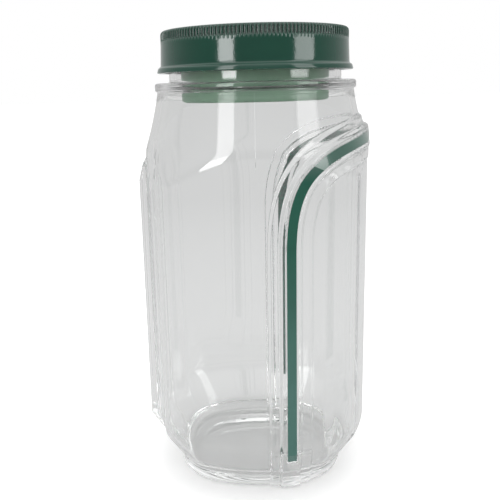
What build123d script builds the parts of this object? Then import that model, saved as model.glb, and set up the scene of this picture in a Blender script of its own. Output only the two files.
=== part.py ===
from build123d import *
import os
from math import cos, pi, radians, sin

# Clear grip jar with a green screw lid, an inner cup seal and a green grip strip.
# Millimetres. +Z is up, -Y is the front, +X is the grip side.
# The origin is the middle of the resting face, so the jar stands on z = 0.

# ---- driving dimensions -------------------------------------------------------------
BODY_HALF = 51.5          # middle of a side wall to the jar's axis
BOW_RATIO = 1.6           # bow radius of a side wall over its half width
BODY_CORNER = 24.0        # rounding of the four upright corners
WALL = 2.4                # jar wall

FOOT_HALF = 40.8          # the foot that the jar stands on
FOOT_CORNER = 25.0
FOOT_HEIGHT = 6.2
FOOT_ROUND = 4.4
HEEL_HALF = 39.8          # narrowest section, just above the foot
HEEL_CORNER = 24.0
HEEL_SINK = 0.6           # how far the walls reach down into the foot
SLOPE_TOP = 24.0          # where the sloped lower part meets the upright walls
SLOPE_ROUND = 10.0        # rounding of that bend
FLOOR_Z = 5.4             # inside floor
PUSH_UP = 2.2             # hollow under the floor
PUSH_UP_RADIUS = 30.0

SHOULDER_BASE = (60.0, 136.0)     # radius, height: the shoulder cone, outside the walls
SHOULDER_MID = (50.9, 158.4)
SHOULDER_TOP = (45.2, 181.0)
SHOULDER_ROUND = 4.0              # rounding between the shoulder and the walls
BROW_LOW = 126.0                  # that rounding's edges lie between these heights
BROW_HIGH = 176.0

BEAD_TOP = 185.4          # the bead ring under the lid
BEAD_BOTTOM = 181.4
BEAD_RADIUS = 46.2
BEAD_EDGE = 1.1
NECK_RADIUS = 39.5
NECK_BORE = 36.9
NECK_OVERLAP = 3.0        # how far the neck's solid reaches down into the shoulder
NECK_INSET = 0.3          # and how far its lower edge stays inside the shoulder's skin
LEDGE_RADIUS = 42.4       # inside, the shoulder ends under a flat ledge round the bore
LEDGE_BOTTOM = 180.5
LEDGE_TOP = 183.0
LEDGE_CHAMFER = 0.8
LIP_Z = 204.1             # top of the neck

THREAD_PITCH = 5.08       # five threads to the inch
THREAD_TURNS = 1.1
THREAD_START_Z = 194.0
NECK_THREAD_CREST = 41.0
THREAD_BASE_WIDTH = 2.2
THREAD_CREST_WIDTH = 1.1
THREAD_ROOT = 0.4         # how far a thread is buried in its wall

LID_TOP_Z = 208.0
LID_TOP_THICKNESS = 1.7
LID_RADIUS_TOP = 42.7     # the skirt widens a little downward
LID_RADIUS_BOTTOM = 43.2
LID_BORE = 41.7
LID_THREAD_CREST = 40.2
LID_THREAD_TURNS = 1.0
LID_THREAD_DROP = 2.2     # the lid's thread runs this far below the neck's
LID_EDGE_ROUND = 1.4
KNURL_HEIGHT = 5.0
KNURL_DEPTH = 0.55
KNURL_RIDGES = 160
KNURL_CREST_END = 0.4     # shares of one ridge's pitch: where the flat crest ends,
KNURL_ROOT_START = 0.55   # and where the groove's flat bottom starts
KNURL_ROOT_END = 0.85     # and ends
LID_FLANGE_RADIUS = 44.8
LID_FLANGE_TOP = 192.7
LID_FLANGE_SLOPE = 1.2    # height of the flange's sloped top
LID_FLANGE_BOTTOM = 189.7

LINER_THICKNESS = 1.0
LINER_RADIUS = 40.8

CUP_RIM_RADIUS = 39.2
CUP_RIM_THICKNESS = 1.2
CUP_RADIUS = 34.0
CUP_WALL = 1.3
CUP_BOTTOM_Z = 176.4
CUP_ROUND = 3.2
CUP_CORNER_SHARE = 0.3    # the rounding's middle point, as a share of the rounding
CUP_SEAL_RADIUS = 36.5
CUP_SEAL_HEIGHT = 4.0
CUP_SEAL_RAMP = 1.0

RIB_CENTRE = 14.0         # x of the rib's two upright legs, front and back
RIB_WIDTH = 19.0
RIB_CROWN = 9.2
RIB_STAND = 3.0           # how far the crown stands off the front wall
RIB_STEP = 1.1            # how far the wider lower step stands off
RIB_SIDE_STAND = 0.9      # the same crown on the grip side, where the wall meets it
RIB_BEND = ((14.0, 115.0), (14.0, 146.0), (24.0, 153.5), (46.0, 159.5))   # x, z of a Bezier bend
RIB_END = (86.0, 170.4)   # the arch runs on past the grip side
GROOVE_WIDTH = 4.2
GROOVE_DEPTH = 2.0
STRIP_WIDTH = 4.0
STRIP_SINK = 0.3          # the strip's face lies this far below the crown
STRIP_BOTTOM = 19.4
STRIP_END_GAP = 0.1       # between the strip's ends and the groove's

SPINE_HALF_WIDTH = 11.0   # raised strip on the side away from the grip
SPINE_STAND = 3.0
SPINE_ROUND = 2.0
SPINE_SLOPE_TOP = 24.5    # height where its face bends in over the slope
SPINE_FOOT = (38.7, 2.0)  # distance from the axis, height: its lower end, in the foot
SPINE_BEND = 142.0        # its upper end leans in to the shoulder in two steps
SPINE_LEAN = (52.6, 149.5)
SPINE_END = (49.0, 156.0)
SPINE_DEPTH = 14.0        # the strip's block, from its face to inside the wall
TICK_COUNT = 6
TICK_FIRST_Z = 40.8
TICK_SPACING = 16.6
TICK_LENGTH = 9.0
TICK_WIDTH = 1.3
TICK_STAND = 0.3

# azimuth from the front towards +X, wall's distance there, cutter radius, depth
FLUTES = (
    (42.0, 56.2, 30.0, 2.4),
    (-67.0, 52.8, 26.0, 1.4),
)
SEAM_TURN = 30.0          # keeps the turned shoulder's seam away from the walls' middles

PAST = 1.0                # how far a cutter runs past the face that it cuts
NEAR = 0.1                # tolerance for picking edges
TALL = 260.0              # higher and
WIDE = 400.0              # wider than the whole jar


# ---- helpers ------------------------------------------------------------------------
def section(half_x, half_y, corner):
    """Bowed rounded square: four shallow arcs with rounded corners."""
    bow_x = half_x * BOW_RATIO
    bow_y = half_y * BOW_RATIO
    shape = Pos(half_x - bow_x, 0) * Circle(bow_x)
    shape &= Pos(bow_x - half_x, 0) * Circle(bow_x)
    shape &= Pos(0, half_y - bow_y) * Circle(bow_y)
    shape &= Pos(0, bow_y - half_y) * Circle(bow_y)
    return fillet(shape.vertices(), corner)


def turned(points):
    """Solid of revolution about Z from (radius, height) points."""
    outline = Polyline(*[(radius, 0, height) for radius, height in points], close=True)
    return revolve(make_face(outline), Axis.Z)


def shoulder(grow):
    """Cone that caps the walls, wide below and narrow at the bead."""
    wide, middle, narrow = [(radius + grow, height)
                            for radius, height in (SHOULDER_BASE, SHOULDER_MID, SHOULDER_TOP)]
    slope = ThreePointArc((wide[0], 0, wide[1]), (middle[0], 0, middle[1]), (narrow[0], 0, narrow[1]))
    rest = Polyline((narrow[0], 0, narrow[1]), (0, 0, narrow[1]), (0, 0, -PAST),
                    (wide[0], 0, -PAST), (wide[0], 0, wide[1]))
    return Rot(0, 0, SEAM_TURN) * revolve(make_face([slope, rest]), Axis.Z)


def walls(grow_x, grow_y, top_grow, floor_z=0.0, rounded=True):
    """Lower slope, upright walls and shoulder, grown or shrunk by a wall's thickness."""
    grow = min(grow_x, grow_y)
    heel_z = max(FOOT_HEIGHT - HEEL_SINK, floor_z)
    low = Pos(0, 0, heel_z) * section(HEEL_HALF + grow_x, HEEL_HALF + grow_y, HEEL_CORNER + grow)
    high = Pos(0, 0, SLOPE_TOP) * section(BODY_HALF + grow_x, BODY_HALF + grow_y, BODY_CORNER + grow)
    upright = extrude(high, SHOULDER_TOP[1] - SLOPE_TOP) & shoulder(top_grow)
    body = loft([low, high]) + upright
    if not rounded:
        return body
    bend = [edge for edge in body.edges() if abs(edge.center().Z - SLOPE_TOP) < NEAR]
    body = fillet(bend, SLOPE_ROUND + grow)
    brow = [edge for edge in body.edges()
            if edge.center().Z > BROW_LOW and max((edge @ 0).Z, (edge @ 1).Z) < BROW_HIGH]
    return fillet(brow, SHOULDER_ROUND + grow / 2)


def foot(grow_x, grow_y):
    pad = extrude(section(FOOT_HALF + grow_x, FOOT_HALF + grow_y, FOOT_CORNER), FOOT_HEIGHT)
    return fillet(pad.faces().sort_by(Axis.Z)[0].edges(), FOOT_ROUND)


def arch_band(width):
    """The rib seen from the front: a leg that bends over to the grip side, cut through the jar."""
    leg = Line((RIB_CENTRE, -PAST), RIB_BEND[0])
    bend = Bezier(*RIB_BEND)
    arch = Line(RIB_BEND[3], RIB_END)
    band = trace([leg, bend, arch], width)
    return extrude(Plane.XZ * band, TALL / 2, both=True)


def thread(crest, root, start_z, turns):
    """Right-hand trapezoid thread between a root and a crest radius."""
    base = THREAD_BASE_WIDTH / 2
    tip = THREAD_CREST_WIDTH / 2
    path = Helix(THREAD_PITCH, THREAD_PITCH * turns, root, center=(0, 0, start_z))
    start = Plane(origin=(root, 0, start_z), x_dir=(1, 0, 0), z_dir=(0, 1, 0))
    reach = crest - root
    profile = start * Polygon((0, -base), (reach, -tip), (reach, tip), (0, base), align=None)
    return sweep(profile, path=path, is_frenet=True)


# ---- jar body -----------------------------------------------------------------------
def rib_envelope(stand, side_stand):
    """Space that the rib fills: it stands off the front and back, and is nearly flush at the side."""
    return walls(side_stand, stand, stand, rounded=False) + foot(0.0, stand)


def rib_surface(sink):
    """Space inside a surface that lies a little below the rib's crown."""
    return walls(RIB_SIDE_STAND - sink, RIB_STAND - sink, RIB_STAND - sink, rounded=False)


def flute(azimuth, reach, cutter, depth, side, grow=0.0):
    """Upright round-bottomed cutter in a corner of the walls; side mirrors it front to back."""
    distance = reach + cutter - depth
    angle = radians(azimuth)
    centre = Pos(distance * sin(angle), side * distance * cos(angle), -PAST)
    return centre * extrude(Circle(cutter + grow), TALL)


def spine():
    """Raised strip on the -X side, from the foot up to the shoulder, with ticks."""
    face = BODY_HALF + SPINE_STAND
    back = face - SPINE_DEPTH
    outline = [SPINE_FOOT, (face, SPINE_SLOPE_TOP), (face, SPINE_BEND), SPINE_LEAN, SPINE_END,
               (back, SPINE_END[1]), (back - SPINE_DEPTH, SPINE_FOOT[1])]
    side = Polyline(*[(-distance, height) for distance, height in outline], close=True)
    block = extrude(Plane.XZ * make_face(side), SPINE_HALF_WIDTH, both=True)
    upright = [edge for edge in block.edges().filter_by(Axis.Z) if edge.center().X < NEAR - face]
    block = fillet(upright, SPINE_ROUND)
    for index in range(TICK_COUNT):
        height = TICK_FIRST_Z + index * TICK_SPACING
        tick = extrude(Plane.YZ * SlotOverall(TICK_LENGTH, TICK_WIDTH), 2 * TICK_STAND)
        block += Pos(-face - TICK_STAND, 0, height) * tick
    return block


def cavity():
    """Everything inside the jar, open at the neck."""
    inside = walls(-WALL, -WALL, -WALL, FLOOR_Z)
    for place in FLUTES:
        for side in (-1, 1):
            inside -= flute(*place, side, grow=WALL)
    below_neck = Pos(0, 0, LEDGE_BOTTOM / 2) * Box(WIDE, WIDE, LEDGE_BOTTOM)
    bore = turned([(0, BROW_HIGH), (NECK_BORE, BROW_HIGH), (LEDGE_RADIUS, LEDGE_BOTTOM),
                   (LEDGE_RADIUS, LEDGE_TOP - LEDGE_CHAMFER), (LEDGE_RADIUS - LEDGE_CHAMFER, LEDGE_TOP),
                   (NECK_BORE, LEDGE_TOP), (NECK_BORE, LIP_Z + PAST), (0, LIP_Z + PAST)])
    return (inside & below_neck) + bore


def push_up():
    """Shallow dished hollow under the floor."""
    ball = (PUSH_UP_RADIUS ** 2 + PUSH_UP ** 2) / (2 * PUSH_UP)
    return Pos(0, 0, PUSH_UP - ball) * Sphere(ball)


def groove_band(width, bottom):
    """Part of the rib's band above a height, for the groove and its strip."""
    upper = Pos(0, 0, bottom + TALL / 2) * Box(WIDE, WIDE, TALL)
    return arch_band(width) & upper


def core():
    """Inside of the jar out to the middle of its wall, which raised features are cut back to."""
    half_wall = WALL / 2
    low = extrude(section(FOOT_HALF - WALL, FOOT_HALF - WALL, FOOT_CORNER - WALL), FOOT_HEIGHT)
    return walls(-half_wall, -half_wall, -half_wall, rounded=False) + low


def make_neck():
    """Bead ring and plain neck, still solid."""
    base = SHOULDER_TOP[1] - NECK_OVERLAP
    return turned([(0, base), (SHOULDER_TOP[0] - NECK_INSET, base), (SHOULDER_TOP[0], BEAD_BOTTOM),
                   (BEAD_RADIUS - BEAD_EDGE, BEAD_BOTTOM), (BEAD_RADIUS, BEAD_BOTTOM + BEAD_EDGE),
                   (BEAD_RADIUS, BEAD_TOP - BEAD_EDGE), (BEAD_RADIUS - BEAD_EDGE, BEAD_TOP),
                   (NECK_RADIUS, BEAD_TOP), (NECK_RADIUS, LIP_Z), (0, LIP_Z)])


def make_jar():
    shell = walls(0, 0, 0) + foot(0, 0)
    for place in FLUTES:
        for side in (-1, 1):
            shell -= flute(*place, side)
    shell += make_neck()
    shell -= cavity()
    shell -= push_up()
    inside = core()
    step = arch_band(RIB_WIDTH) & rib_envelope(RIB_STEP, RIB_SIDE_STAND / 2)
    crown = arch_band(RIB_CROWN) & rib_envelope(RIB_STAND, RIB_SIDE_STAND)
    shell += step - inside
    shell += crown - inside
    shell += spine() - inside
    shell -= groove_band(GROOVE_WIDTH, STRIP_BOTTOM) - rib_surface(GROOVE_DEPTH)
    shell += thread(NECK_THREAD_CREST, NECK_RADIUS - THREAD_ROOT, THREAD_START_Z, THREAD_TURNS)
    return shell


def make_strip():
    """Green strip that fills the rib's groove from the floor of one leg to the other."""
    strip = groove_band(STRIP_WIDTH, STRIP_BOTTOM + STRIP_END_GAP) & rib_surface(STRIP_SINK)
    return strip - rib_surface(GROOVE_DEPTH)


# ---- closure ------------------------------------------------------------------------
def knurl_outline():
    """Outline of the ridged band: a flat-topped ridge and a flat-bottomed groove, repeated."""
    points = []
    step = 2 * pi / KNURL_RIDGES
    for ridge in range(KNURL_RIDGES):
        for share, radius in ((0.0, LID_RADIUS_TOP), (KNURL_CREST_END, LID_RADIUS_TOP),
                              (KNURL_ROOT_START, LID_RADIUS_TOP - KNURL_DEPTH),
                              (KNURL_ROOT_END, LID_RADIUS_TOP - KNURL_DEPTH)):
            angle = (ridge + share) * step
            points.append((radius * cos(angle), radius * sin(angle)))
    return make_face(Polyline(*points, close=True))


def make_lid():
    """Screw lid: ridged band round its top, smooth skirt, flared rim and an inside thread."""
    band_bottom = LID_TOP_Z - KNURL_HEIGHT
    skirt = turned([(0, band_bottom), (LID_RADIUS_TOP, band_bottom), (LID_RADIUS_BOTTOM, LID_FLANGE_TOP),
                    (LID_FLANGE_RADIUS, LID_FLANGE_TOP - LID_FLANGE_SLOPE),
                    (LID_FLANGE_RADIUS, LID_FLANGE_BOTTOM),
                    (0, LID_FLANGE_BOTTOM)])
    cap = turned([(0, band_bottom), (LID_RADIUS_TOP, band_bottom),
                  (LID_RADIUS_TOP, LID_TOP_Z - LID_EDGE_ROUND),
                  (LID_RADIUS_TOP - LID_EDGE_ROUND, LID_TOP_Z), (0, LID_TOP_Z)])
    band = Pos(0, 0, band_bottom) * extrude(knurl_outline(), KNURL_HEIGHT)
    lid = skirt + (cap & band)
    ceiling = LID_TOP_Z - LID_TOP_THICKNESS
    lid -= turned([(0, LID_FLANGE_BOTTOM - PAST), (LID_BORE, LID_FLANGE_BOTTOM - PAST),
                   (LID_BORE, ceiling), (0, ceiling)])
    lid += thread(LID_THREAD_CREST, LID_BORE + THREAD_ROOT, THREAD_START_Z - LID_THREAD_DROP,
                  LID_THREAD_TURNS)
    return lid


def make_liner():
    """Soft sealing disc against the lid's ceiling."""
    ceiling = LID_TOP_Z - LID_TOP_THICKNESS
    disc = Cylinder(LINER_RADIUS, LINER_THICKNESS, align=(Align.CENTER, Align.CENTER, Align.MAX))
    return Pos(0, 0, ceiling) * disc


def rounded_base(radius, height):
    """Points of a cup's base: flat, then a rounded corner up to its side."""
    short = CUP_CORNER_SHARE * CUP_ROUND
    return [(0, height), (radius - CUP_ROUND, height), (radius - short, height + short),
            (radius, height + CUP_ROUND)]


def make_cup():
    """Cup-shaped seal that hangs in the neck from a rim on the lip."""
    rim_top = LIP_Z + CUP_RIM_THICKNESS
    seal_bottom = LIP_Z - CUP_SEAL_HEIGHT
    cup = turned(rounded_base(CUP_RADIUS, CUP_BOTTOM_Z)
                 + [(CUP_RADIUS, seal_bottom - CUP_SEAL_RAMP), (CUP_SEAL_RADIUS, seal_bottom),
                    (CUP_SEAL_RADIUS, LIP_Z), (CUP_RIM_RADIUS, LIP_Z), (CUP_RIM_RADIUS, rim_top), (0, rim_top)])
    hollow = CUP_RADIUS - CUP_WALL
    cup -= turned(rounded_base(hollow, CUP_BOTTOM_Z + CUP_WALL)
                  + [(hollow, rim_top + PAST), (0, rim_top + PAST)])
    return cup


PARTS = {
    "jar_body": make_jar,
    "grip_strip": make_strip,
    "lid": make_lid,
    "lid_liner": make_liner,
    "inner_cup": make_cup,
}

if __name__ == "__main__":
    os.makedirs("parts", exist_ok=True)
    for name, make in PARTS.items():
        part = make()
        export_step(part, f"parts/{name}.step")
        print(name, round(part.volume), len(part.solids()), part.is_valid)
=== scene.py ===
import math

import bpy
import numpy as np
from mathutils import Matrix, Vector


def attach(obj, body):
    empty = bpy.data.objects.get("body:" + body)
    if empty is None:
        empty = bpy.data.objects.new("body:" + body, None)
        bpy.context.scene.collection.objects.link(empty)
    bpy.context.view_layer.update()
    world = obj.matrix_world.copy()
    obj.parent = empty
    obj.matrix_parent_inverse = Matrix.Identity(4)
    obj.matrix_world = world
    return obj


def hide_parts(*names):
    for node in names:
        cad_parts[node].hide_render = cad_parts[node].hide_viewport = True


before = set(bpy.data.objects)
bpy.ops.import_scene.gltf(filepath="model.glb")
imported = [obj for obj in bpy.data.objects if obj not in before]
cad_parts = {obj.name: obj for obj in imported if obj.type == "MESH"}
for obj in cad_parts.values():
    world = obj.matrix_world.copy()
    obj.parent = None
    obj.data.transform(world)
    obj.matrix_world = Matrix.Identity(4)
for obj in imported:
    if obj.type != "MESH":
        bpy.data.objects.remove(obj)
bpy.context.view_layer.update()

# Lengths are millimetres until a mesh is made. Azimuth runs from the front (-Y) towards +X.
MM = 0.001

# ---- the jar's shape, as in the CAD, and a parting line ---------------------------------
BODY_HALF, HEEL_HALF, FOOT_HALF = 51.5, 39.8, 40.8
BODY_CORNER, FOOT_CORNER = 24.0, 25.0
BOW_RATIO = 1.6
HEEL_Z, FOOT_HEIGHT, SLOPE_TOP = 5.6, 6.2, 24.0
FOOT_ROUND = 4.4
WALL = 2.4
FLOOR_Z, CORNER_Z = 5.4, 12.0       # inside floor, and where its rounded corner starts
PUSH_UP, PUSH_UP_RADIUS, PUSH_UP_EDGE = 2.2, 30.0, 0.9
SHOULDER = ((60.0, 136.0), (50.9, 158.4), (45.2, 181.0))
BROW_EDGE = 0.7           # easing between the shoulder and the walls
SLOPE_EASE, RIB_SLOPE_EASE = 1.95, 0.62      # and between the slope and the walls
NECK_RADIUS = 39.5
THREAD_PITCH, THREAD_START_Z, THREAD_CREST = 5.08, 194.0, 41.0
THREAD_HALF_BASE, THREAD_FLANK = 1.1, 0.55
THREAD_RUN_IN = 0.25      # angle over which a thread fades in or out
NECK_THREAD_TURNS, LID_THREAD_TURNS = 1.1, 1.0
RIB_CENTRE = 14.0
RIB_BEND = ((14.0, 115.0), (14.0, 146.0), (24.0, 153.5), (46.0, 159.5))
RIB_END = (86.0, 170.4)
STEP_HALF_WIDTH, STEP_STAND, STEP_SIDE_STAND = 9.3, 1.1, 0.45
CROWN_HALF_WIDTH, CROWN_STAND, CROWN_SIDE_STAND = 4.6, 3.0, 0.88
RIB_EDGE = 1.2            # width over which a raised edge is eased
GROOVE_HALF_WIDTH, GROOVE_DEPTH, GROOVE_EDGE = 2.35, 2.12, 0.5
STRIP_BOTTOM = 19.4
SPINE_HEIGHTS = (2.0, 24.5, 142.0, 149.5, 156.0)      # corners of the spine's face, bottom to top
SPINE_REACHES = (38.7, 54.5, 54.5, 52.6, 49.0)        # and their distances from the axis
SPINE_HALF_WIDTH, SPINE_EDGE = 10.6, 1.6
TICK_COUNT, TICK_FIRST_Z, TICK_SPACING = 6, 40.8, 16.6
TICK_HALF_LENGTH, TICK_HALF_WIDTH, TICK_STAND, TICK_EDGE = 4.4, 0.65, 0.28, 0.5
TICK_ROWS = (-1.1, -0.9, -0.65, -0.4, 0, 0.4, 0.65, 0.9, 1.1)
ROW_GAP = 0.12            # rows closer together than this are dropped
SEAM_STAND, SEAM_HALF_WIDTH, SEAM_EDGE = 0.1, 0.25, 0.3
SEAM_FADE = (148.0, 152.0)      # the parting line shows above these heights
# azimuth in degrees, the wall's distance there, cutter radius, depth
FLUTES = ((42.0, 56.2, 30.0, 2.4), (-67.0, 52.8, 26.0, 1.4))
FLUTE_EDGE, FLUTE_REACH = 1.8, 1.2      # easing, and the angle either side that a cutter is tested over
FAR = 1000.0


def smoothstep(low, high, value):
    share = np.clip((value - low) / (high - low), 0.0, 1.0)
    return share * share * (3.0 - 2.0 * share)


def soft_min(a, b, width):
    """The lower of two values, with the corner between them rounded off."""
    near = np.clip(width - np.abs(a - b), 0.0, None) / width
    return np.minimum(a, b) - near * near * width / 4.0


def section_radius(az, half_x, half_y, corner):
    """Distance from the axis to a bowed square with rounded corners."""
    ux, uy = np.abs(np.sin(az)), np.abs(np.cos(az))
    bow_x, bow_y = BOW_RATIO * half_x, BOW_RATIO * half_y
    dx, dy = bow_x - half_x, bow_y - half_y
    reach_x, reach_y = bow_x - corner, bow_y - corner
    gap = np.hypot(dx, dy)
    along = (reach_x ** 2 - reach_y ** 2 + gap ** 2) / (2 * gap)
    across = np.sqrt(reach_x ** 2 - along ** 2)
    kx = -dx + along * dx / gap + across * dy / gap
    ky = -along * dy / gap + across * dx / gap
    angle = np.arctan2(uy, ux)
    end_x = np.arctan2(bow_x * ky / reach_x, -dx + bow_x * (kx + dx) / reach_x)
    end_y = np.arctan2(-dy + bow_y * (ky + dy) / reach_y, bow_y * kx / reach_y)
    side = -dx * ux + np.sqrt(bow_x ** 2 - (dx * uy) ** 2)
    front = -dy * uy + np.sqrt(bow_y ** 2 - (dy * ux) ** 2)
    middle = kx * ux + ky * uy
    bend = middle + np.sqrt(np.maximum(middle ** 2 - (kx ** 2 + ky ** 2 - corner ** 2), 0.0))
    return np.where(angle < end_x, side, np.where(angle > end_y, front, bend))


def shoulder_arc():
    """Centre and radius of the circle through the shoulder's three points."""
    (ax, ay), (bx, by), (cx, cy) = SHOULDER
    d = 2 * (ax * (by - cy) + bx * (cy - ay) + cx * (ay - by))
    a, b, c = ax * ax + ay * ay, bx * bx + by * by, cx * cx + cy * cy
    ux = (a * (by - cy) + b * (cy - ay) + c * (ay - by)) / d
    uy = (a * (cx - bx) + b * (ax - cx) + c * (bx - ax)) / d
    return ux, uy, math.hypot(ax - ux, ay - uy)


ARC_X, ARC_Z, ARC_R = shoulder_arc()


def shoulder_radius(z):
    inside = np.clip(z, SHOULDER[0][1], SHOULDER[2][1])
    return ARC_X - np.sqrt(ARC_R ** 2 - (inside - ARC_Z) ** 2)


def wall_radius(az, z, grow_x, grow_y, grow_top, rounding):
    """Foot, slope, upright walls and shoulder, grown outwards by a stand-off."""
    slope = HEEL_HALF + (BODY_HALF - HEEL_HALF) * (z - HEEL_Z) / (SLOPE_TOP - HEEL_Z)
    half = soft_min(slope, BODY_HALF + 0 * z, rounding)
    corner = BODY_CORNER + min(grow_x, grow_y)
    radius = section_radius(az, half + grow_x, half + grow_y, corner)
    radius = soft_min(radius, shoulder_radius(z) + grow_top, BROW_EDGE)
    rise = np.clip(FOOT_ROUND - z, 0, None)
    inset = FOOT_ROUND - np.sqrt(np.clip(FOOT_ROUND ** 2 - rise ** 2, 0, None))
    pad = section_radius(az, FOOT_HALF - inset, FOOT_HALF + grow_y - inset, FOOT_CORNER - inset / 2)
    ledge = smoothstep(FOOT_HEIGHT - 0.5, FOOT_HEIGHT + 0.4, z)
    return np.where(z < FOOT_HEIGHT + 0.5, pad * (1 - ledge) + radius * ledge, radius)


def fluted(az, radius):
    """Round-bottomed upright hollows next to the corners."""
    for azimuth, reach, cutter, depth in FLUTES:
        distance = reach + cutter - depth
        for turn in (math.radians(azimuth), math.pi - math.radians(azimuth)):
            off = (az - turn + math.pi) % (2 * math.pi) - math.pi
            inside = cutter ** 2 - (distance * np.sin(off)) ** 2
            near = (inside > 0) & (np.abs(off) < FLUTE_REACH)
            cut = np.where(near, distance * np.cos(off) - np.sqrt(np.maximum(inside, 0.0)), FAR)
            radius = soft_min(radius, cut, FLUTE_EDGE)
    return radius


def plain_radius(az, z):
    """The jar's walls and flutes, without the raised features."""
    return fluted(az, wall_radius(az, z, 0, 0, 0, SLOPE_EASE))


def bezier(points, count):
    t = np.linspace(0, 1, count)[:, None]
    p = np.array(points, float)
    return ((1 - t) ** 3 * p[0] + 3 * (1 - t) ** 2 * t * p[1]
            + 3 * (1 - t) * t ** 2 * p[2] + t ** 3 * p[3])


RIB_PATH = np.vstack([[(RIB_CENTRE, -5.0)], bezier(RIB_BEND, 28), [RIB_END]])


def rib_distance(x, z):
    """Distance from the middle of the rib, seen from the front."""
    best = np.full(x.shape, FAR)
    for start, end in zip(RIB_PATH[:-1], RIB_PATH[1:]):
        step = end - start
        share = ((x - start[0]) * step[0] + (z - start[1]) * step[1]) / (step @ step)
        share = np.clip(share, 0.0, 1.0)
        best = np.minimum(best, np.hypot(x - start[0] - share * step[0], z - start[1] - share * step[1]))
    return best


def banded(distance, half_width, edge):
    """1 in the middle of a band and 0 outside it, with an eased edge."""
    return 1.0 - smoothstep(half_width - edge / 2, half_width + edge / 2, distance)


def tick_heights():
    return [TICK_FIRST_Z + TICK_SPACING * index for index in range(TICK_COUNT)]


def outer_radius(az, z):
    """The jar's whole outside up to the bead: walls, flutes, rib, groove, spine and ticks."""
    radius = plain_radius(az, z)
    step = wall_radius(az, z, STEP_SIDE_STAND, STEP_STAND, STEP_STAND, RIB_SLOPE_EASE)
    crown = wall_radius(az, z, CROWN_SIDE_STAND, CROWN_STAND, CROWN_STAND, RIB_SLOPE_EASE)
    grip_side = np.sin(az) > 0
    low = banded(rib_distance(step * np.sin(az), z), STEP_HALF_WIDTH, RIB_EDGE) * grip_side
    radius = radius + (np.maximum(step, radius) - radius) * low
    field = rib_distance(crown * np.sin(az), z)
    high = banded(field, CROWN_HALF_WIDTH, RIB_EDGE) * grip_side
    radius = radius + (crown - radius) * high
    groove = banded(field, GROOVE_HALF_WIDTH, GROOVE_EDGE) * grip_side
    radius = radius - GROOVE_DEPTH * groove * smoothstep(STRIP_BOTTOM - 0.5, STRIP_BOTTOM, z)

    left = np.sin(az) < -0.5
    y = -radius * np.cos(az)
    face = np.interp(z, SPINE_HEIGHTS, SPINE_REACHES)
    face = np.where((z < SPINE_HEIGHTS[0]) | (z > SPINE_HEIGHTS[-1]), 0.0, face)
    plane = np.where(left, face / np.maximum(-np.sin(az), 0.5), 0.0)
    raised = banded(np.abs(y), SPINE_HALF_WIDTH, SPINE_EDGE) * left
    spine = np.maximum(plane - radius, 0.0) * raised
    ticks = np.zeros_like(radius)
    for height in tick_heights():
        length = banded(np.abs(y), TICK_HALF_LENGTH, TICK_EDGE) * left
        ticks += TICK_STAND * length * banded(np.abs(z - height), TICK_HALF_WIDTH, TICK_EDGE)
    seam = banded(np.abs(radius * np.sin(az)), SEAM_HALF_WIDTH, SEAM_EDGE) * (np.cos(az) > 0)
    seam = SEAM_STAND * seam * smoothstep(*SEAM_FADE, z)
    return radius + spine + ticks * (raised > 0.5) + seam


def columns():
    """Azimuths of the grid's columns: close together where the rib's legs and the spine run."""
    spans = ((0.6, 3, 0.6), (3, 27, 0.25), (27, 153, 0.5), (153, 177, 0.25), (177, 250, 0.8), (250, 290, 0.4),
             (290, 359.4, 0.8), (359.4, 360.6, 0.15))
    parts = []
    for start, end, step in spans:
        parts.append(np.linspace(start, end, round((end - start) / step), endpoint=False))
    return np.radians(np.concatenate(parts))


def body_heights():
    """Heights of the grid's rows below the bead."""
    rows = [np.array([0.02, 0.15, 0.4, 0.8, 1.4, 2.2, 3.2, 4.4, 5.2, 5.7, 5.95, 6.2, 6.4, 6.6])]
    rows += [np.arange(7.2, 20, 0.9), np.arange(20, 31, 0.4)]
    rows += [np.arange(31, 115, 3.5), np.arange(115, 181, 0.5)]
    for height in tick_heights():
        rows.append(height + np.array(TICK_ROWS))
    rows = np.unique(np.round(np.concatenate(rows), 3))
    keep = [rows[0]]
    for z in rows[1:]:
        if z - keep[-1] > ROW_GAP:
            keep.append(z)
    return np.array(keep)


def make_mesh(name, points, faces):
    mesh = bpy.data.meshes.new(name)
    mesh.from_pydata([tuple(p) for p in points * MM], [], faces)
    mesh.validate()
    mesh.shade_smooth()
    obj = bpy.data.objects.new(name, mesh)
    bpy.context.scene.collection.objects.link(obj)
    return obj


def ring_points(az, radius, z):
    radius = np.broadcast_to(radius, az.shape)
    z = np.broadcast_to(z, az.shape)
    return np.column_stack([radius * np.sin(az), -radius * np.cos(az), z])


def skin(rings):
    """Points and faces of a stack of rings, closed by a middle point at either end."""
    count = len(rings[0])
    index = np.arange(count)
    after = (index + 1) % count
    faces = []
    for row in range(len(rings) - 1):
        a, b = row * count, (row + 1) * count
        faces += np.column_stack([a + index, a + after, b + after, b + index]).tolist()
    total = len(rings) * count
    last = total - count
    faces += np.column_stack([after, index, np.full(count, total)]).tolist()
    faces += np.column_stack([last + index, last + after, np.full(count, total + 1)]).tolist()
    points = np.vstack([*rings, rings[0].mean(0)[None], rings[-1].mean(0)[None]])
    return points, faces


def thread_bump(az, z, start_z, turns, height):
    """How far a thread stands out at a point of a round wall."""
    turn = (az - math.pi / 2) % (2 * math.pi)
    out = np.zeros_like(turn + z)
    for lap in range(2):
        total = turn + lap * 2 * math.pi
        drop = np.abs(z - start_z - THREAD_PITCH * total / (2 * math.pi))
        end = turns * 2 * math.pi
        ends = smoothstep(0.0, THREAD_RUN_IN, total) * (1 - smoothstep(end - THREAD_RUN_IN, end, total))
        out = np.maximum(out, height * np.clip((THREAD_HALF_BASE - drop) / THREAD_FLANK, 0, 1) * ends)
    return out


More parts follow.
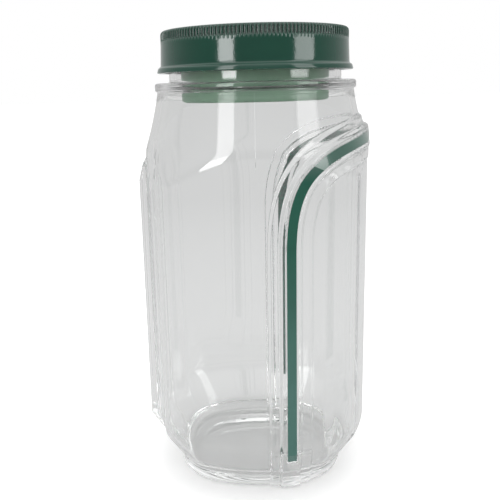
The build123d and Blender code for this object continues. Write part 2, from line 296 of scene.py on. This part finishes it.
def under_rings(az):
    """The hollowed underside, out to the foot's edge."""
    edge = outer_radius(az, np.full(az.shape, 0.02))
    shares = (0.03, 0.15, 0.3, 0.42, 0.52, 0.6, 0.64, 0.68,
              0.71, 0.74, 0.77, 0.8, 0.84, 0.88, 0.93, 0.97)
    rings = []
    for share in shares:
        r = edge * share
        hollow = PUSH_UP * (1 - (r / PUSH_UP_RADIUS) ** 2)
        rings.append(ring_points(az, r, -soft_min(-hollow, 0 * r, PUSH_UP_EDGE)))
    return rings


def neck_rings(az):
    """Bead ring, threaded neck, lip, bore and the ledge under it."""
    top = shoulder_radius(np.array([SHOULDER[2][1]]))[0]
    bead = ((top, 181.3), (top + 0.15, 181.42), (45.3, 181.5), (45.8, 181.75), (46.1, 182.1), (46.19, 182.6),
            (46.19, 184.1), (46.1, 184.7), (45.8, 185.1), (45.3, 185.35), (44.8, 185.4), (41.0, 185.4),
            (40.2, 185.45), (39.7, 185.7), (39.5, 186.2))
    lip = ((39.45, 203.5), (39.2, 203.9), (38.8, 204.1), (37.4, 204.1), (37.0, 203.95), (36.9, 203.6))
    bore = ((36.9, 200.0), (36.9, 195.0), (36.9, 190.0), (36.9, 185.0), (36.92, 183.8), (37.05, 183.35),
            (37.35, 183.1), (37.8, 183.0), (39.8, 183.0), (41.4, 182.95), (42.0, 182.75), (42.35, 182.3),
            (42.45, 181.6), (42.55, 180.5), (42.7, 179.5))
    rings = [ring_points(az, r, z) for r, z in bead]
    for z in np.arange(187.0, 203.2, 0.5):
        bump = thread_bump(az, z, THREAD_START_Z, NECK_THREAD_TURNS, THREAD_CREST - NECK_RADIUS)
        rings.append(ring_points(az, NECK_RADIUS + bump, z))
    return rings + [ring_points(az, r, z) for r, z in lip + bore]


def inside_rings(az):
    """The inner walls, from the shoulder down over the rounded corner to the floor."""
    heights = [np.arange(178.2, 136, -1.5), np.arange(136, 30, -5.0), np.arange(30, CORNER_Z, -1.0)]
    rings = []
    for z in np.concatenate(heights):
        rings.append(ring_points(az, plain_radius(az, np.full(az.shape, z)) - WALL, z))
    start = wall_radius(az, np.full(az.shape, CORNER_Z), 0, 0, 0, SLOPE_EASE) - WALL
    # how far below the corner's start, and the share of the start's radius
    corner = ((1.6, 0.975), (3.0, 0.945), (4.3, 0.905), (5.3, 0.86), (6.0, 0.81), (6.4, 0.76), (6.6, 0.7))
    for drop, pull in corner:
        rings.append(ring_points(az, start * pull, CORNER_Z - drop))
    return rings + [ring_points(az, start * share, FLOOR_Z) for share in (0.5, 0.3, 0.1, 0.03)]


def make_jar():
    az = columns()
    body = [ring_points(az, outer_radius(az, np.full(az.shape, z)), z) for z in body_heights()]
    return make_mesh("clear_jar", *skin(under_rings(az) + body + neck_rings(az) + inside_rings(az)))


# ---- closure -------------------------------------------------------------------------
LID_TOP_Z, LID_BORE, LID_THREAD_CREST, LID_THREAD_DROP = 208.0, 41.7, 40.2, 2.2
RIDGES = 160
RIDGE_DEPTH = 0.65        # 0.1 more than in the CAD, so that the grooves read at a distance
RIDGE_PHASES = (0.00, 0.28, 0.34, 0.40, 0.48, 0.84, 0.91, 0.96)      # places along one ridge's pitch
RIDGE_SHARES = (0.00, 0.00, 0.20, 0.80, 1.00, 1.00, 0.80, 0.20)      # and the share of the depth there
RIDGE_SAG, SAG_PHASE, SAG_TOP = 0.3, 0.60, 204.4      # scallop at the ridges' lower ends


def make_lid():
    phase = np.tile(RIDGE_PHASES, RIDGES)
    az = (np.repeat(np.arange(RIDGES), len(RIDGE_PHASES)) + phase) * 2 * math.pi / RIDGES
    groove = np.tile(RIDGE_SHARES, RIDGES)
    scallop = RIDGE_SAG * np.cos(2 * math.pi * (phase - SAG_PHASE))
    top = (1.0, 8.0, 18.0, 28.0, 36.0, 39.5, 40.6)
    # radius, height, and the share of the ridges' full depth
    band = ((41.3, 207.98, 0.1), (41.8, 207.85, 0.3), (42.25, 207.5, 0.6), (42.55, 207.05, 0.9),
            (42.68, 206.5, 1.0), (42.7, 205.8, 1.0), (42.7, 205.0, 1.0), (42.7, 204.5, 1.0),
            (42.7, 204.1, 0.95), (42.7, 203.8, 0.7), (42.72, 203.5, 0.3), (42.74, 203.3, 0.0))
    skirt = ((42.76, 201.8), (42.85, 199.5), (42.95, 197.0), (43.05, 194.8), (43.13, 193.1), (43.26, 192.6),
             (43.65, 192.3), (44.1, 192.0), (44.35, 191.75), (44.5, 191.4), (44.62, 190.9), (44.74, 190.4),
             (44.8, 190.1), (44.7, 189.85), (44.4, 189.72), (43.9, 189.7), (42.2, 189.7), (41.85, 189.8),
             (41.7, 190.1))
    inside = ((41.7, 199.5), (41.7, 205.6), (41.4, 206.1), (40.9, 206.3), (30.0, 206.3), (10.0, 206.3),
              (1.0, 206.3))
    rings = [ring_points(az, r, LID_TOP_Z) for r in top]
    depths = [np.zeros(az.shape)] * len(top)
    for r, z, share in band:
        rings.append(ring_points(az, r - RIDGE_DEPTH * groove * share, z + scallop * (z < SAG_TOP)))
        depths.append(groove * share)
    rings += [ring_points(az, r, z) for r, z in skirt]
    for z in np.arange(190.6, 198.6, 0.35):
        bump = thread_bump(az, z, THREAD_START_Z - LID_THREAD_DROP, LID_THREAD_TURNS,
                           LID_BORE - LID_THREAD_CREST)
        rings.append(ring_points(az, LID_BORE - bump, z))
    rings += [ring_points(az, r, z) for r, z in inside]

    points, faces = skin([ring[::-1] for ring in rings])
    lid = make_mesh("ridged_lid", points, faces)
    # Each point's share of the ridges' full depth, kept so that the lid's material can paint shade into the
    # grooves.
    values = np.zeros(len(points))
    ridged = np.concatenate([ring[::-1] for ring in depths])
    values[:len(ridged)] = ridged
    lid.data.attributes.new("ridge_depth_shade", "FLOAT", "POINT").data.foreach_set("value", values)
    return lid


def make_turned(name, outline, count):
    """A round piece from (radius, height) points; its first and last points lie near the axis."""
    az = np.linspace(0, 2 * math.pi, count, endpoint=False)
    return make_mesh(name, *skin([ring_points(az, r, z) for r, z in outline]))


def arc(centre_r, centre_z, radius, start, end, count):
    angles = np.radians(np.linspace(start, end, count))
    return [(centre_r + radius * math.cos(a), centre_z + radius * math.sin(a)) for a in angles]


def make_cup():
    outline = [(0.5, 176.4), (16.0, 176.4), (28.0, 176.4)]
    outline += arc(30.8, 179.6, 3.2, -90, 0, 7)
    outline += [(34.0, 182.0), (34.0, 190.0), (34.0, 198.4), (34.2, 199.0), (35.6, 199.8), (36.3, 200.1)]
    outline += [(36.5, 200.5), (36.5, 203.8), (36.6, 204.05), (37.0, 204.12), (38.6, 204.12)]
    outline += arc(38.6, 204.7, 0.58, -90, 90, 7)
    outline += [(37.0, 205.28), (33.6, 205.28), (33.0, 205.15), (32.7, 204.7), (32.7, 202.0), (32.7, 190.0)]
    outline += [(32.7, 182.4)]
    outline += arc(29.5, 180.9, 3.2, 0, -90, 7)
    outline += [(20.0, 177.7), (0.5, 177.7)]
    return make_turned("cup_seal", outline, 256)


def make_liner():
    outline = [(0.5, 205.32), (30.0, 205.32), (40.3, 205.32)]
    outline += arc(40.42, 205.68, 0.36, -90, 0, 4) + arc(40.42, 205.92, 0.36, 0, 90, 4)
    outline += [(40.0, 206.28), (30.0, 206.28), (0.5, 206.28)]
    return make_turned("foam_liner", outline, 192)


# ---- materials -----------------------------------------------------------------------
class Nodes:
    """A material's node tree, with short calls for what these finishes use."""

    def __init__(self, name):
        self.material = bpy.data.materials.new(name)
        self.material.use_nodes = True
        self.tree = self.material.node_tree
        self.shader = self.tree.nodes["Principled BSDF"]
        self.place = self.tree.nodes.new("ShaderNodeTexCoord").outputs["Object"]

    def set(self, **values):
        for key, value in values.items():
            self.shader.inputs[key.replace("_", " ")].default_value = value

    def link(self, output, key):
        self.tree.links.new(output, self.shader.inputs[key])

    def noise(self, scale, detail=3.0, rough=0.5, stretch=(1, 1, 1)):
        mapping = self.tree.nodes.new("ShaderNodeMapping")
        mapping.inputs["Scale"].default_value = stretch
        self.tree.links.new(self.place, mapping.inputs["Vector"])
        node = self.tree.nodes.new("ShaderNodeTexNoise")
        node.inputs["Scale"].default_value = scale
        node.inputs["Detail"].default_value = detail
        node.inputs["Roughness"].default_value = rough
        self.tree.links.new(mapping.outputs["Vector"], node.inputs["Vector"])
        return node.outputs["Fac"]

    def height(self):
        split = self.tree.nodes.new("ShaderNodeSeparateXYZ")
        self.tree.links.new(self.place, split.inputs["Vector"])
        return split.outputs["Z"]

    def spread(self, value, low, high, start=0.3, end=0.7):
        node = self.tree.nodes.new("ShaderNodeMapRange")
        node.inputs["From Min"].default_value = start
        node.inputs["From Max"].default_value = end
        node.inputs["To Min"].default_value = low
        node.inputs["To Max"].default_value = high
        self.tree.links.new(value, node.inputs["Value"])
        return node.outputs["Result"]

    def mix(self, value, first, second):
        """Blend of two colours; each is three numbers or another node's output."""
        node = self.tree.nodes.new("ShaderNodeMix")
        node.data_type = "RGBA"
        self.tree.links.new(value, node.inputs["Factor"])
        sockets = [socket for socket in node.inputs if socket.type == "RGBA"]
        for socket, colour in zip(sockets, (first, second)):
            if isinstance(colour, tuple):
                socket.default_value = (*colour, 1)
            else:
                self.tree.links.new(colour, socket)
        return next(out for out in node.outputs if out.type == "RGBA")

    def bump(self, value, distance, strength=1.0, under=None):
        node = self.tree.nodes.new("ShaderNodeBump")
        node.inputs["Distance"].default_value = distance
        node.inputs["Strength"].default_value = strength
        self.tree.links.new(value, node.inputs["Height"])
        if under is not None:
            self.tree.links.new(under, node.inputs["Normal"])
        return node.outputs["Normal"]


def clear_plastic():
    n = Nodes("clear_moulded_plastic")
    n.set(Base_Color=(0.985, 0.990, 0.987, 1), Transmission_Weight=1.0, IOR=1.5)
    n.link(n.spread(n.noise(420, 4.0), 0.0, 0.035), "Roughness")
    flow = n.noise(18, 1.0, 0.4, (1, 1, 0.6))
    n.link(n.bump(flow, 0.0004, 0.2), "Normal")
    return n.material


def lid_plastic():
    n = Nodes("green_lid_plastic")
    skirt = n.mix(n.spread(n.noise(35, 3.0), 0, 1), (0.004, 0.062, 0.038), (0.006, 0.078, 0.048))
    # Painted shade: the lid's colour is darkened in the grooves by each point's share of the ridges' depth.
    depth = n.tree.nodes.new("ShaderNodeAttribute")
    depth.attribute_name = "ridge_depth_shade"
    n.link(n.mix(depth.outputs["Fac"], skirt, (0.002, 0.034, 0.021)), "Base Color")
    n.link(n.spread(n.noise(260, 4.0), 0.07, 0.12), "Roughness")
    turning = n.tree.nodes.new("ShaderNodeTexWave")
    turning.wave_type = "RINGS"
    turning.rings_direction = "Z"
    turning.inputs["Scale"].default_value = 160
    turning.inputs["Distortion"].default_value = 0.4
    n.tree.links.new(n.place, turning.inputs["Vector"])
    rings = n.bump(turning.outputs["Fac"], 0.00002, 0.4)
    fine = n.bump(n.noise(900, 3.0), 0.00004, 0.5, rings)
    n.link(n.bump(n.noise(60, 2.0, 0.5, (1, 1, 3)), 0.0003, 0.2, fine), "Normal")
    n.set(IOR=1.6)
    return n.material


def cup_plastic():
    n = Nodes("frosted_green_plastic")
    n.link(n.mix(n.spread(n.noise(28, 3.0), 0, 1), (0.27, 0.52, 0.34), (0.33, 0.60, 0.40)), "Base Color")
    n.link(n.spread(n.noise(300, 3.0), 0.30, 0.45), "Roughness")
    n.link(n.bump(n.noise(500, 3.0), 0.00005, 0.5), "Normal")
    n.set(IOR=1.5, Transmission_Weight=0.35)
    return n.material


def strip_rubber():
    n = Nodes("green_grip_rubber")
    # Painted reflection: the strip's green is mixed towards a paler green lower down; the deeper green higher
    # up is its own colour.
    deep = n.mix(n.spread(n.noise(50, 3.0), 0, 1), (0.002, 0.100, 0.062), (0.004, 0.122, 0.076))
    pale = n.mix(n.spread(n.noise(50, 3.0), 0, 1), (0.070, 0.200, 0.165), (0.085, 0.225, 0.190))
    n.link(n.mix(n.spread(n.height(), 1, 0, 0.055, 0.118), deep, pale), "Base Color")
    n.link(n.spread(n.noise(240, 4.0), 0.12, 0.20), "Roughness")
    n.link(n.bump(n.noise(1400, 4.0), 0.00003, 0.4), "Normal")
    n.set(IOR=1.5, Coat_IOR=1.9, Coat_Roughness=0.06)
    n.link(n.spread(n.height(), 0, 1, 0.145, 0.153), "Coat Weight")
    return n.material


def liner_foam():
    n = Nodes("white_foam_liner")
    n.link(n.mix(n.spread(n.noise(500, 4.0), 0, 1), (0.72, 0.72, 0.70), (0.82, 0.82, 0.80)), "Base Color")
    n.link(n.spread(n.noise(700, 3.0), 0.7, 0.9), "Roughness")
    n.link(n.bump(n.noise(1500, 4.0), 0.0001, 0.8), "Normal")
    return n.material


def give(obj, material):
    obj.data.materials.clear()
    obj.data.materials.append(material)


# ---- pieces --------------------------------------------------------------------------
jar = make_jar()
give(jar, clear_plastic())
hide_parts("jar_body")
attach(jar, "jar")

lid = make_lid()
give(lid, lid_plastic())
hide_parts("lid")
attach(lid, "screw_lid")

cup = make_cup()
give(cup, cup_plastic())
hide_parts("inner_cup")
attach(cup, "seal")

liner = make_liner()
give(liner, liner_foam())
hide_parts("lid_liner")
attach(liner, "seal")

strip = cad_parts["grip_strip"]
give(strip, strip_rubber())


# ---- stage ---------------------------------------------------------------------------
# Metres from here on.
FLOOR_REACH, FLOOR_LEVEL = 9.0, -0.0002
SOFTBOX_DISTANCE = 1.3
# name, azimuth in degrees, lower and upper edge, width, watts
SOFTBOXES = (("softbox_left_low", -33.0, 0.16, 0.55, 0.42, 3.8),
             ("softbox_left_high", -33.0, 0.55, 1.7, 0.42, 4.8),
             ("softbox_right_low", 60.0, 0.16, 0.55, 0.58, 3.0),
             ("softbox_right_high", 60.0, 0.55, 1.7, 0.58, 4.4))
CAMERA_YAW, CAMERA_PITCH, CAMERA_ROLL = -2.34, 13.33, -1.45
CAMERA_Y, CAMERA_Z = -0.3306, 0.18365
LENS_MM, SENSOR_MM, LENS_SHIFT = 49.9, 36.0, 0.04
BOUNCES, GLOSSY_BOUNCES = 96, 48      # light crosses the thick clear walls many times before it leaves


def make_floor():
    mesh = bpy.data.meshes.new("floor")
    corners = [(x * FLOOR_REACH, y * FLOOR_REACH, FLOOR_LEVEL) for x, y in ((-1, -1), (1, -1), (1, 1), (-1, 1))]
    mesh.from_pydata(corners, [], [(0, 1, 2, 3)])
    floor = bpy.data.objects.new("floor", mesh)
    bpy.context.scene.collection.objects.link(floor)
    n = Nodes("pale_floor")
    n.set(Roughness=0.9, Specular_IOR_Level=0.0, Emission_Color=(1, 1, 1, 1))
    # Painted light: the floor glows, more near the jar than far off, which lifts the shade under and around the
    # jar. Camera rays see a paler floor colour than other rays do.
    away = n.tree.nodes.new("ShaderNodeVectorMath")
    away.operation = "LENGTH"
    n.tree.links.new(n.place, away.inputs[0])
    n.link(n.spread(away.outputs["Value"], 0.33, 0.235, 0.10, 0.80), "Emission Strength")
    direct = n.tree.nodes.new("ShaderNodeLightPath").outputs["Is Camera Ray"]
    n.link(n.mix(direct, (0.40, 0.40, 0.402), (0.95, 0.95, 0.95)), "Base Color")
    give(floor, n.material)


def softbox(name, azimuth, low, high, width, power):
    """An upright soft light, facing the axis, between two heights."""
    light = bpy.data.lights.new(name, "AREA")
    light.shape = "RECTANGLE"
    light.size = width
    light.size_y = high - low
    light.energy = power
    obj = bpy.data.objects.new(name, light)
    angle = math.radians(azimuth)
    middle = Vector((SOFTBOX_DISTANCE * math.sin(angle), -SOFTBOX_DISTANCE * math.cos(angle),
                     (low + high) / 2))
    obj.location = middle
    aim = Vector((0, 0, middle.z)) - middle
    obj.rotation_mode = "QUATERNION"
    obj.rotation_quaternion = aim.to_track_quat("-Z", "Y")
    obj.visible_diffuse = False
    bpy.context.scene.collection.objects.link(obj)


def make_world():
    world = bpy.data.worlds.new("studio")
    world.use_nodes = True
    bpy.context.scene.world = world
    tree = world.node_tree
    background = tree.nodes["Background"]
    place = tree.nodes.new("ShaderNodeTexCoord").outputs["Generated"]
    split = tree.nodes.new("ShaderNodeSeparateXYZ")
    tree.links.new(place, split.inputs["Vector"])

    def spread(value, start, end, low, high):
        node = tree.nodes.new("ShaderNodeMapRange")
        node.interpolation_type = "SMOOTHSTEP"
        node.inputs["From Min"].default_value = start
        node.inputs["From Max"].default_value = end
        if isinstance(low, float):
            node.inputs["To Min"].default_value = low
        else:
            tree.links.new(low, node.inputs["To Min"])
        node.inputs["To Max"].default_value = high
        tree.links.new(value, node.inputs["Value"])
        return node.outputs["Result"]

    level = spread(split.outputs["Y"], -0.6, 0.8, 0.30, 0.64)
    light = spread(split.outputs["Z"], 0.25, 0.80, level, 1.3)
    seen = tree.nodes.new("ShaderNodeLightPath").outputs["Is Camera Ray"]
    pick = tree.nodes.new("ShaderNodeMix")
    tree.links.new(seen, pick.inputs["Factor"])
    tree.links.new(light, pick.inputs["A"])
    pick.inputs["B"].default_value = 1.0
    tree.links.new(pick.outputs["Result"], background.inputs["Color"])


def make_camera():
    yaw, pitch, roll = math.radians(CAMERA_YAW), math.radians(CAMERA_PITCH), math.radians(CAMERA_ROLL)
    forward = Vector((math.sin(yaw) * math.cos(pitch), math.cos(yaw) * math.cos(pitch), -math.sin(pitch)))
    right = Vector((math.cos(yaw), -math.sin(yaw), 0))
    up = right.cross(forward)
    x_axis = math.cos(roll) * right + math.sin(roll) * up
    y_axis = -math.sin(roll) * right + math.cos(roll) * up
    camera = bpy.data.objects.new("camera", bpy.data.cameras.new("camera"))
    camera.data.lens = LENS_MM
    camera.data.sensor_width = SENSOR_MM
    camera.data.shift_x = LENS_SHIFT
    camera.data.clip_start = 0.01
    camera.matrix_world = Matrix(((x_axis.x, y_axis.x, -forward.x, 0.0),
                                  (x_axis.y, y_axis.y, -forward.y, CAMERA_Y),
                                  (x_axis.z, y_axis.z, -forward.z, CAMERA_Z),
                                  (0, 0, 0, 1)))
    bpy.context.scene.collection.objects.link(camera)
    bpy.context.scene.camera = camera


light_paths = bpy.context.scene.cycles
light_paths.max_bounces = BOUNCES
light_paths.glossy_bounces = GLOSSY_BOUNCES
light_paths.transmission_bounces = BOUNCES
make_floor()
make_world()
for row in SOFTBOXES:
    softbox(*row)
make_camera()
bpy.context.scene.view_settings.view_transform = "Standard"
